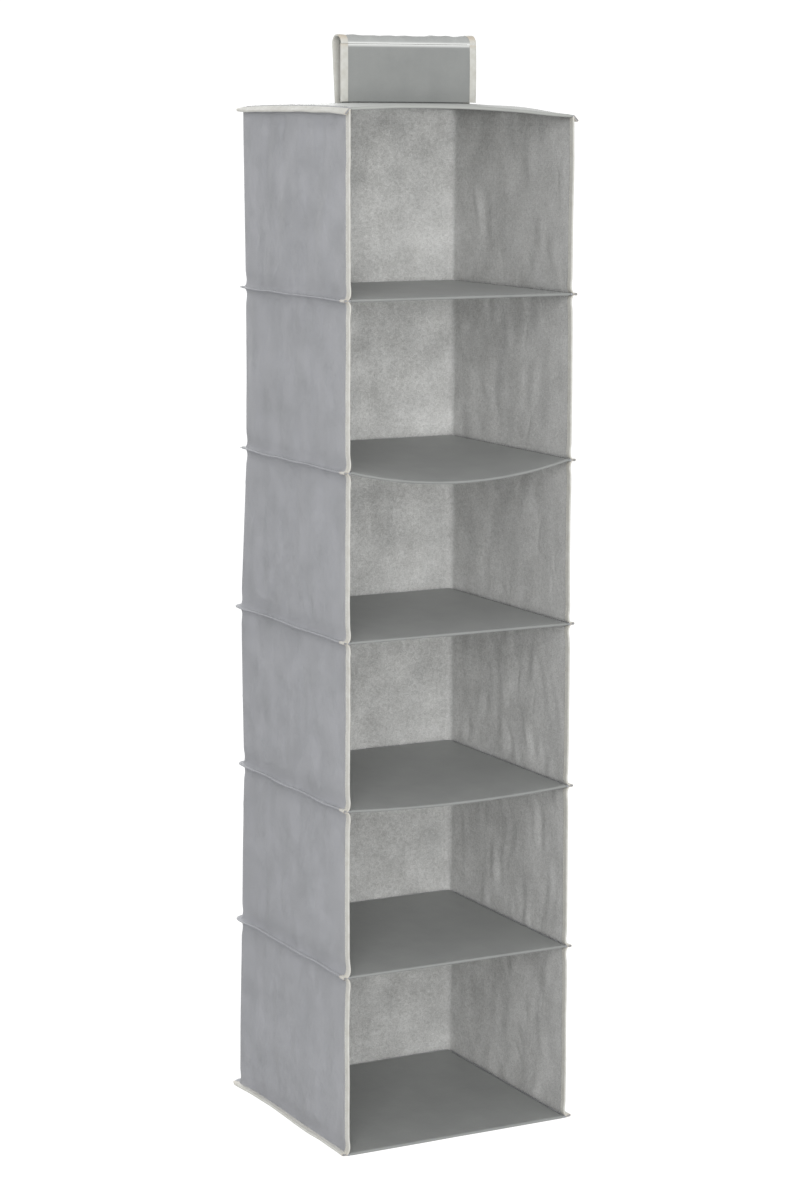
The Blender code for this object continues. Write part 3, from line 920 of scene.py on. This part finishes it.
@dataclass
class Panel:
    """A sleeved board with the seam that stands out round it: a shelf, the top panel or the bottom one."""

    index: int
    shape: PanelShape
    reach: float

    @property
    def name(self) -> str:
        """The panel's name in piece names."""
        return BODY_NAMES[self.index]

    @property
    def body(self) -> str:
        """The body that the panel is on."""
        return BODY_NAMES[self.index]

    @property
    def is_end(self) -> bool:
        """Whether this is the top or the bottom panel."""
        return self.index in (0, 6)

    def node(self, kind: str) -> str:
        """The CAD node of the panel's cover or board."""
        return f"{self.name}_{kind}" if self.is_end else f"shelf_{kind}_{self.index}"

    def make_sleeve(self) -> bpy.types.Object:
        """The sleeve: from the back over the board, round the front edge and back under it.

        Its half thickness is 1.8 mm over the board and falls to the seam's along the sides and the back, as
        the square root of the distance does at a pinched edge.
        """
        w, d = self.shape.half_width + SLEEVE_LAP, self.shape.half_depth + SLEEVE_LAP
        dense = np.linspace(0, 8 * MM, 9)
        x = np.concatenate([dense - w, np.linspace(-w + 8 * MM, w - 8 * MM, 90)[1:-1], w - dense[::-1]])
        nose = SLEEVE_HALF - self.shape.half_depth
        run = np.concatenate([np.linspace(d, d - 8 * MM, 8), np.linspace(d - 8 * MM, nose, 80)[1:]])
        turn = np.linspace(0, math.pi, 9)[1:-1]
        depth = np.concatenate([run, nose - SLEEVE_HALF * np.sin(turn), run[::-1]])
        over = np.concatenate([np.ones(len(run)), np.cos(turn), -np.ones(len(run))])
        xs, ys = np.meshgrid(x, depth)
        inset = np.minimum(w - np.abs(xs), d - ys)
        pinch = np.sqrt(np.clip((inset - 1.0 * MM) / (4.5 * MM), 0, 1))
        half = SEAM_HALF + (SLEEVE_HALF - SEAM_HALF) * pinch
        waves = soft_waves(ys, xs, 40 + self.index, (14, 30), (60, 200))
        pucker = 0.12 * MM * waves * np.exp(-np.abs(inset) / (14 * MM))
        slack = 0.18 * MM * soft_waves(xs, ys, 60 + self.index, (80, 200), (80, 200))
        z = self.shape.height(xs, ys) + over[:, None] * (half + (pucker + 0.6 * np.minimum(slack, 0)) * pinch)
        points = np.stack([xs, ys, z], -1)
        measure = distances(np.stack([depth, over * SLEEVE_HALF], -1))
        cloth = np.stack(np.broadcast_arrays(x[None, :], measure[:, None]), -1)
        # painted light: the top sleeve takes the lighter copy of the panel cloth
        look = LIT_PANEL_CLOTH if self.index == 0 else PANEL_CLOTH
        piece = thick_sheet(f"{self.name}_sleeve", Grid(points[::-1], cloth[::-1]), CLOTH_THICKNESS, [look])
        return settle(piece, self.body, self.node("cover"))

    def seam_reach(self, along: np.ndarray) -> np.ndarray:
        """How far the seam stands out: its reach, a slow unevenness, and the tip of each back corner."""
        corner = self.shape.corner_at
        tips = (LEFT_CORNER_TIPS[self.index], corner), (RIGHT_CORNER_TIP, self.shape.track.length - corner)
        ears = sum(tip * bell(along - at, TIP_SPREAD) for tip, at in tips)
        uneven = 0.35 * MM * soft_waves(along, along * 0, 300 + self.index, (40, 120), (900, 1000))
        return self.reach + uneven + ears

    def seam_tilt(self, along: np.ndarray, normal: np.ndarray) -> np.ndarray:
        """How far the seam hangs from level, in radians: the top one's sides hang, others curl a little."""
        wave = 0.1 * soft_waves(along, along * 0, 400 + self.index, (60, 180), (900, 1000))
        ear = bell(along - 2 * self.shape.half_depth, 18 * MM)
        hang = {0: 0.72, 6: -0.12}.get(self.index, 0.0)
        return hang * normal[..., 0] ** 2 * (1 - 0.5 * ear) + wave - 0.2 * ear * (self.index > 0)

    def seam_points(self, along: np.ndarray, out: np.ndarray, over: np.ndarray) -> np.ndarray:
        """Points on or near the seam.

        Args:
            along: distance round the body.
            out: distance out from the walls, as a share of the reach.
            over: height above the seam's middle.

        Returns:
            Points, with three numbers in the last axis.
        """
        along, out, over = np.broadcast_arrays(along, out, over)
        spot, normal = self.shape.track.at(along)
        tilt = self.seam_tilt(along, normal) * smooth_step(out * 4)
        reach = out * self.seam_reach(along)
        xy = spot + normal * (reach * np.cos(tilt) + over * np.sin(tilt))[..., None]
        z = self.shape.height(spot[..., 0], spot[..., 1]) + over * np.cos(tilt) - reach * np.sin(tilt)
        return np.concatenate([xy, z[..., None]], -1)

    def make_seam(self) -> bpy.types.Object:
        """The tuck or seam allowance that stands out round the body, a flat bar with a rounded edge."""
        along = np.linspace(0, self.shape.track.length, 330)[:, None]
        upper_share = np.array([-0.2, 0.0, 0.2, 0.5, 0.8, 0.95, 1.0])
        upper = np.array([1.3, 1.25, 1.0, 0.85, 0.85, 0.7, 0.3]) * MM
        share = np.concatenate([upper_share, upper_share[::-1]])
        points = self.seam_points(along, share, np.concatenate([upper, -upper[::-1]]))
        cloth = np.stack(np.broadcast_arrays(along, np.linspace(0, 2 * self.reach, len(share) + 1)), -1)
        grid = Grid(points[:, ::-1], cloth[:, ::-1], round_columns=True)
        piece = closed_bar(f"{self.name}_seam", grid, WALL_OUTSIDE)
        return settle(piece, self.body, self.node("cover"))

    def seam_lines(self, along: np.ndarray, share: float, height: float) -> list[tuple]:
        """Two lines of stitches along the seam, one on each face."""
        return [(self.seam_points(along, share, way * height), (0, 0, way)) for way in (1, -1)]

    def make_seam_stitches(self) -> bpy.types.Object:
        """The stitches along the seam's root, on its upper and lower face."""
        along = np.linspace(11 * MM, self.shape.track.length - 11 * MM, 700)
        piece = sewn(f"{self.name}_seam_stitches", self.seam_lines(along, 0.42, 0.9 * MM), GREY_THREAD)
        return settle(piece, self.body)

    def make_tape(self, side: Side) -> bpy.types.Object:
        """A tape folded over the seam's edge, from its root over the top, round the edge and back below.

        Args:
            side: the left or right run of the seam. An end panel has tape on the whole side, and a shelf's
                tuck has it only round its front end.

        Returns:
            The new object.
        """
        if self.is_end:
            name, node = f"{self.name}_tape_{side.word}", f"{self.name}_binding_{side.word}"
            start, length, root = -0.6 * MM, 2 * self.shape.half_depth - 3 * MM, 0.12
        else:
            name, node = f"tuck_end_{side.word}_{self.index}", f"tuck_tab_{side.word}_{self.index}"
            start, length, root = -1.4 * MM, 12.5 * MM, 0.05
        # back from the front edge, closer together over the first 3 mm
        dense = start + 3 * MM
        sparse = np.linspace(dense, start + length, max(6, int(length / (3 * MM))))
        back = np.concatenate([np.linspace(start, dense, 5), sparse[1:]])
        along = (back if side is Side.LEFT else self.shape.track.length - back)[:, None]
        turn = np.linspace(0, math.pi, 7)[1:-1]
        edge = 1 + 0.6 * MM / self.reach
        leg = np.linspace(root, edge - 0.12, 7)
        share = np.concatenate([leg, edge - 0.12 + 0.12 * np.sin(turn), leg[::-1]])
        half = 1.45 * MM
        press = np.array([0.8, 0.95, 0.86, 0.95, 1.0, 1.0, 1.0])
        points = self.seam_points(along, share, np.concatenate([press, np.cos(turn), -press[::-1]]) * half)
        cloth = np.stack(np.broadcast_arrays(np.linspace(0, 2 * (self.reach + half), len(share)), along), -1)
        tan = 0.5 * np.exp(-(back - start) / (2 * MM)) + 0.3 * np.exp(-(start + length - back) / (3 * MM))
        piece = tape_sheet(name, points, cloth, tan[:, None], side is Side.LEFT)
        return settle(piece, self.body, node)

    def make_edge_stitches(self) -> bpy.types.Object:
        """Stitches in dark thread on top of the sleeve, close along both side walls: the seam is real, and
        its dark thread is painted shade for the gap between the sleeve and the walls.
        """
        y = np.linspace(-self.shape.half_depth + 6 * MM, self.shape.half_depth - 8 * MM, 260)
        seams = []
        for side in Side:
            x = np.full_like(y, side.value * (self.shape.half_width - 2.6 * MM))
            half = SEAM_HALF + (SLEEVE_HALF - SEAM_HALF) * math.sqrt(2.8 / 4.5)
            seams.append((np.stack([x, y, self.shape.height(x, y) + half + 0.1 * MM], -1), (0, 0, 1)))
        row = StitchRow(length=3.4 * MM, gap=1.2 * MM, width=0.8 * MM)
        return settle(sewn(f"{self.name}_edge_stitches", seams, GAP_SHADE_THREAD, row), self.body)

    def make_tape_stitches(self) -> bpy.types.Object:
        """The stitches along the middle of an end panel's tapes, above and below."""
        back = np.linspace(3 * MM, 2 * self.shape.half_depth - 8 * MM, 260)
        seams = self.seam_lines(back, 0.45, 1.35 * MM)
        seams += self.seam_lines(self.shape.track.length - back, 0.45, 1.35 * MM)
        return settle(sewn(f"{self.name}_tape_stitches", seams, PALE_THREAD), self.body)

    def build(self) -> list[bpy.types.Object]:
        """Make the sleeve, the seam, the tapes and the stitches.

        Returns:
            The new pieces, the sleeve first.
        """
        sleeve, seam = self.make_sleeve(), self.make_seam()
        stitches = [self.make_edge_stitches()]
        stitches.append(self.make_tape_stitches() if self.is_end else self.make_seam_stitches())
        trims = [seam, *stitches, *(self.make_tape(side) for side in Side)]
        return [sleeve, *trims]


# ---------------------------------------------------------------- the rod loop


@dataclass
class RodLoop:
    """The strap over the rod, the flap that closes in front, and their edge tapes."""

    top: PanelShape
    half: float = 89 * MM
    radius: float = 9.6 * MM
    thickness: float = 1.2 * MM
    fold_y: float = -11.6 * MM
    crease_z: float = -9.0 * MM
    rear_lean: float = 8.0 * MM
    flap_half: float = 1.25 * MM

    def foot(self, x: np.ndarray, y: np.ndarray | float) -> np.ndarray:
        """Height of the top panel's upper face."""
        return self.top.height(x, np.full_like(x, y)) + SLEEVE_HALF

    @cached_property
    def rear_foot(self) -> float:
        """Height of the top panel's upper face at the middle of the strap's rear foot."""
        return float(self.foot(np.zeros(1), -self.fold_y)[0])

    @cached_property
    def track(self) -> Track:
        """The strap's middle line, front crease to rear foot, in depth and height."""
        front, back, top = self.fold_y, -self.fold_y, self.thickness / 2
        corners = [(front, self.crease_z), (front, top), (back, top), (back - self.rear_lean, self.rear_foot)]
        return Track.rounded(corners, self.radius)

    def strap_steps(self, bent: int, straight: int) -> np.ndarray:
        """Distances from the crease, closer together over the rod, in a column."""
        over_rod = 48 * MM
        steps = [np.linspace(0, over_rod, bent), np.linspace(over_rod, self.track.length, straight)[1:]]
        return np.concatenate(steps)[:, None]

    def edge_fold(self, press: list[float], half: float) -> tuple[np.ndarray, np.ndarray]:
        """A tape's section round an edge: distances in from the edge, and out from the cloth's middle."""
        turn = np.linspace(0, math.pi, 7)[1:-1]
        leg = np.linspace(8.5 * MM, 0.6 * MM, 6)
        inwards = np.concatenate([leg, -0.6 * MM * np.sin(turn) + 0.2 * MM, leg[::-1]])
        return inwards, np.concatenate([press, np.cos(turn), -np.array(press)[::-1]]) * half

    def strap_place(self, x: np.ndarray, along: np.ndarray, out: np.ndarray | float) -> np.ndarray:
        """Points on the strap: out from its middle line, with a slight crumple over the rod.

        Args:
            x: distance across.
            along: distance from the crease.
            out: distance outwards.

        Returns:
            Points, with three numbers in the last axis.
        """
        x, along, out = np.broadcast_arrays(x, along, out)
        spot, normal = self.track.at(along)
        on_top = bell(along - 17 * MM, 13 * MM)
        crumple = 0.55 * MM * soft_waves(x, along, 900, (18, 60), (14, 40)) * on_top
        dip = -0.7 * MM * np.cos(x / self.half * 1.4) ** 2 * on_top
        spot = spot + normal * (out + np.minimum(crumple + dip, 0.5 * MM))[..., None]
        share = smooth_step((along / self.track.length - 0.45) / 0.55)
        lift = (self.foot(x, -self.fold_y) - self.rear_foot) * share
        return np.stack([x, spot[..., 0], spot[..., 1] + lift], -1)

    def make_strap(self) -> bpy.types.Object:
        """The strap as a sheet of doubled cloth."""
        x = np.linspace(-self.half, self.half, 90)[None, :]
        along = self.strap_steps(60, 24)
        points = self.strap_place(x, along, self.thickness / 2)
        grid = Grid(points, np.stack(np.broadcast_arrays(x, along), -1))
        # painted highlight along the strap's front crease
        marks = {"crease_highlight": np.broadcast_to(0.85 * bell(along, 1.6 * MM), points.shape[:2])}
        piece = thick_sheet("loop_strap_cloth", grid, self.thickness, [STRAP_CLOTH], marks)
        settle(piece, "top", "loop_strap")
        self.track.length
        return piece

    def make_strap_tape(self, side: Side) -> bpy.types.Object:
        """The tape folded round one edge of the strap."""
        along = self.strap_steps(50, 20)
        inwards, over = self.edge_fold([0.8, 0.95, 0.88, 1.0, 1.0, 1.0], self.thickness / 2 + 0.65 * MM)
        points = self.strap_place(side.value * (self.half - inwards), along, over)
        cloth = np.stack(np.broadcast_arrays(np.linspace(0, 19 * MM, len(over)), along), -1)
        tan = 0.55 * bell(along - 9 * MM, 5 * MM)
        piece = tape_sheet(f"strap_tape_{side.word}", points, cloth, tan, side is Side.LEFT)
        return settle(piece, "top", f"strap_binding_{side.word}")

    def flap_place(self, x: np.ndarray, up: np.ndarray, out: np.ndarray | float) -> np.ndarray:
        """Points on the flap: up from its foot, out to the front from its middle. Only its front bows."""
        x, up, out = np.broadcast_arrays(x, up, out)
        middle = self.fold_y + 0.7 * MM
        low = self.foot(x, middle) + 1.5 * MM
        z = low + (self.crease_z - 0.3 * MM - low) * up
        swell = 0.45 * MM * (1 + soft_waves(x, z, 950, (90, 200), (80, 160)))
        bow = swell * np.sin(math.pi * np.clip(up, 0, 1))
        return np.stack([x, middle - out - bow * np.clip(out / self.flap_half, 0, 1), z], -1)

    def make_flap(self) -> bpy.types.Object:
        """The flap: cloth folded over a thin board, from the foot inside, over the top, down the front."""
        x = np.linspace(-self.half, self.half, 70)[None, :]
        turn = np.linspace(0, math.pi, 7)[1:-1]
        rise = np.linspace(0, 0.985, 24)
        up = np.concatenate([rise, 0.985 + 0.015 * np.sin(turn), rise[::-1]])[:, None]
        out = np.concatenate([-np.ones(24), -np.cos(turn), np.ones(24)])[:, None] * self.flap_half
        points = self.flap_place(x, up, out)
        cloth = np.stack(np.broadcast_arrays(x, np.linspace(0, 0.14, len(up))[:, None]), -1)
        # painted highlight along the flap's top fold
        marks = {"crease_highlight": np.broadcast_to(0.9 * bell(1 - up, 0.03), points.shape[:2])}
        grid = Grid(points[:, ::-1], cloth[:, ::-1])
        piece = thick_sheet("flap_sleeve", grid, CLOTH_THICKNESS, [PANEL_CLOTH], marks)
        settle(piece, "flap", "loop_flap")
        return piece

    def make_flap_tape(self, side: Side) -> bpy.types.Object:
        """The tape folded round one side edge of the flap."""
        up = np.linspace(0, 1, 40)[:, None]
        inwards, over = self.edge_fold([0.85, 0.97, 0.9, 1.0, 1.0, 1.0], self.flap_half + 0.7 * MM)
        points = self.flap_place(side.value * (self.half - inwards), up, over)
        cloth = np.stack(np.broadcast_arrays(np.linspace(0, 19 * MM, len(over)), points[:, :1, 2]), -1)
        tan = 0.3 * bell(1 - up, 0.05)
        piece = tape_sheet(f"flap_tape_{side.word}", points, cloth, tan, side is Side.LEFT)
        return settle(piece, "flap", f"flap_binding_{side.word}")

    def make_riser(self) -> bpy.types.Object:
        """The strip that stands on the top panel behind the flap and carries the loop tape."""
        low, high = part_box("closure_riser")
        x = np.linspace(low.x, high.x, 40)[None, :]
        up = np.linspace(0, 1, 12)[:, None]
        foot = self.foot(x, low.y) + 0.2 * MM
        z = foot + (high.z - foot) * up
        lean = 0.2 * MM * soft_waves(x, z, 970, (40, 90), (40, 90)) * up
        points = np.stack(np.broadcast_arrays(x, low.y + np.minimum(lean, 0.3 * MM) + 0.1 * MM, z), -1)
        piece = thick_sheet("riser_cloth", Grid(points, points[..., [0, 2]]), 0.8 * MM, [STRAP_CLOTH])
        settle(piece, "top", "closure_riser")
        return piece

    def build(self) -> list[bpy.types.Object]:
        """Make the strap, the flap, their tapes and the riser.

        Returns:
            The new pieces.
        """
        made = [self.make_strap(), self.make_flap(), self.make_riser()]
        for side in Side:
            made += [self.make_strap_tape(side), self.make_flap_tape(side)]
        return made


# ---------------------------------------------------------------- carried-over parts and the studio


def dress_carried_over() -> None:
    """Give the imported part's own boards and closure tapes their materials."""
    looks = {"hook_tape": HOOKS, "loop_tape": LOOPS, "flap_stiffener": BOARD}
    for name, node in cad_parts.items():
        look = BOARD if "board" in name else looks.get(name)
        if look:
            for slot in node.material_slots:
                slot.material = look.material()
            log.info("carried over %s with %s", name, look.name)


@dataclass
class Studio:
    """A white room and soft lights round the hanging organizer, with the camera near the top's height."""

    ambient: float = 0.84
    white: float = 1.1
    camera_at: tuple[float, float, float] = (-1.671, -3.174, -0.077)
    azimuth: float = -27.7
    elevation: float = 6.2
    roll: float = 0.16
    lens: float = 91.0
    shift: float = -0.14

    def make_camera(self) -> None:
        """Place the camera."""
        data = bpy.data.cameras.new("camera")
        data.lens, data.sensor_width, data.shift_y = self.lens, 36.0, self.shift
        data.clip_end = 50.0
        camera = bpy.data.objects.new("camera", data)
        bpy.context.scene.collection.objects.link(camera)
        a, e = math.radians(self.azimuth), math.radians(self.elevation)
        back = Vector((math.sin(a) * math.cos(e), -math.cos(a) * math.cos(e), math.sin(e)))
        turn = (-back).to_track_quat("-Z", "Y").to_matrix().to_4x4()
        roll = Matrix.Rotation(math.radians(self.roll), 4, "Z")
        camera.matrix_world = Matrix.Translation(self.camera_at) @ turn @ roll
        bpy.context.scene.camera = camera

    def make_room(self) -> None:
        """A white room: it looks pure white, and lights the organizer evenly with less than that."""
        world = bpy.data.worlds.new("white_room")
        world.use_nodes = True
        tree = world.node_tree
        seen = add_node(tree, "LightPath").outputs["Is Camera Ray"]
        mixed = {0: seen, 1: self.white - self.ambient, 2: self.ambient}
        strength = add_node(tree, "Math", mixed, operation="MULTIPLY_ADD")
        room = tree.nodes["Background"]
        room.inputs["Color"].default_value = (1.0, 1.0, 1.0, 1.0)
        tree.links.new(strength.outputs[0], room.inputs["Strength"])
        bpy.context.scene.world = world

    def make_lamp(self, name: str, at: tuple, aim: tuple, size: float, power: float) -> None:
        """One square soft box, at a place and facing another, with its side in metres and its watts."""
        data = bpy.data.lights.new(name, "AREA")
        data.shape, data.size, data.energy = "SQUARE", size, power
        lamp = bpy.data.objects.new(name, data)
        bpy.context.scene.collection.objects.link(lamp)
        lamp.location = at
        lamp.rotation_euler = (Vector(aim) - Vector(at)).to_track_quat("-Z", "Y").to_euler()

    def build(self) -> None:
        """Make the camera, the room and the lamps: one in front on the left, one behind the cloth."""
        self.make_camera()
        self.make_room()
        self.make_lamp("key", (-1.9, -3.9, 0.4), (0.0, 0.0, -0.6), 2.6, 170.0)
        self.make_lamp("backlight", (0.3, 2.6, 0.3), (0.0, 0.0, -0.5), 1.8, 85.0)
        bpy.context.scene.view_settings.view_transform = "Standard"


def main() -> None:
    """Build every sub-assembly."""
    logging.basicConfig(level=logging.INFO, format="%(name)s: %(message)s", force=True)
    panels = read_panels()
    Studio().build()
    dress_carried_over()
    made = []
    for index, shape in enumerate(panels):
        made += Panel(index, shape, END_REACH if index in (0, 6) else TUCK_REACH).build()
    for number, (above, below) in enumerate(zip(panels, panels[1:]), 1):
        made += WrapCell(number, above, below).build()
    made += RodLoop(panels[0]).build()
    for piece in made:
        log.info("%s: %d faces", piece.name, len(piece.data.polygons))


if __name__ == "__main__":
    main()
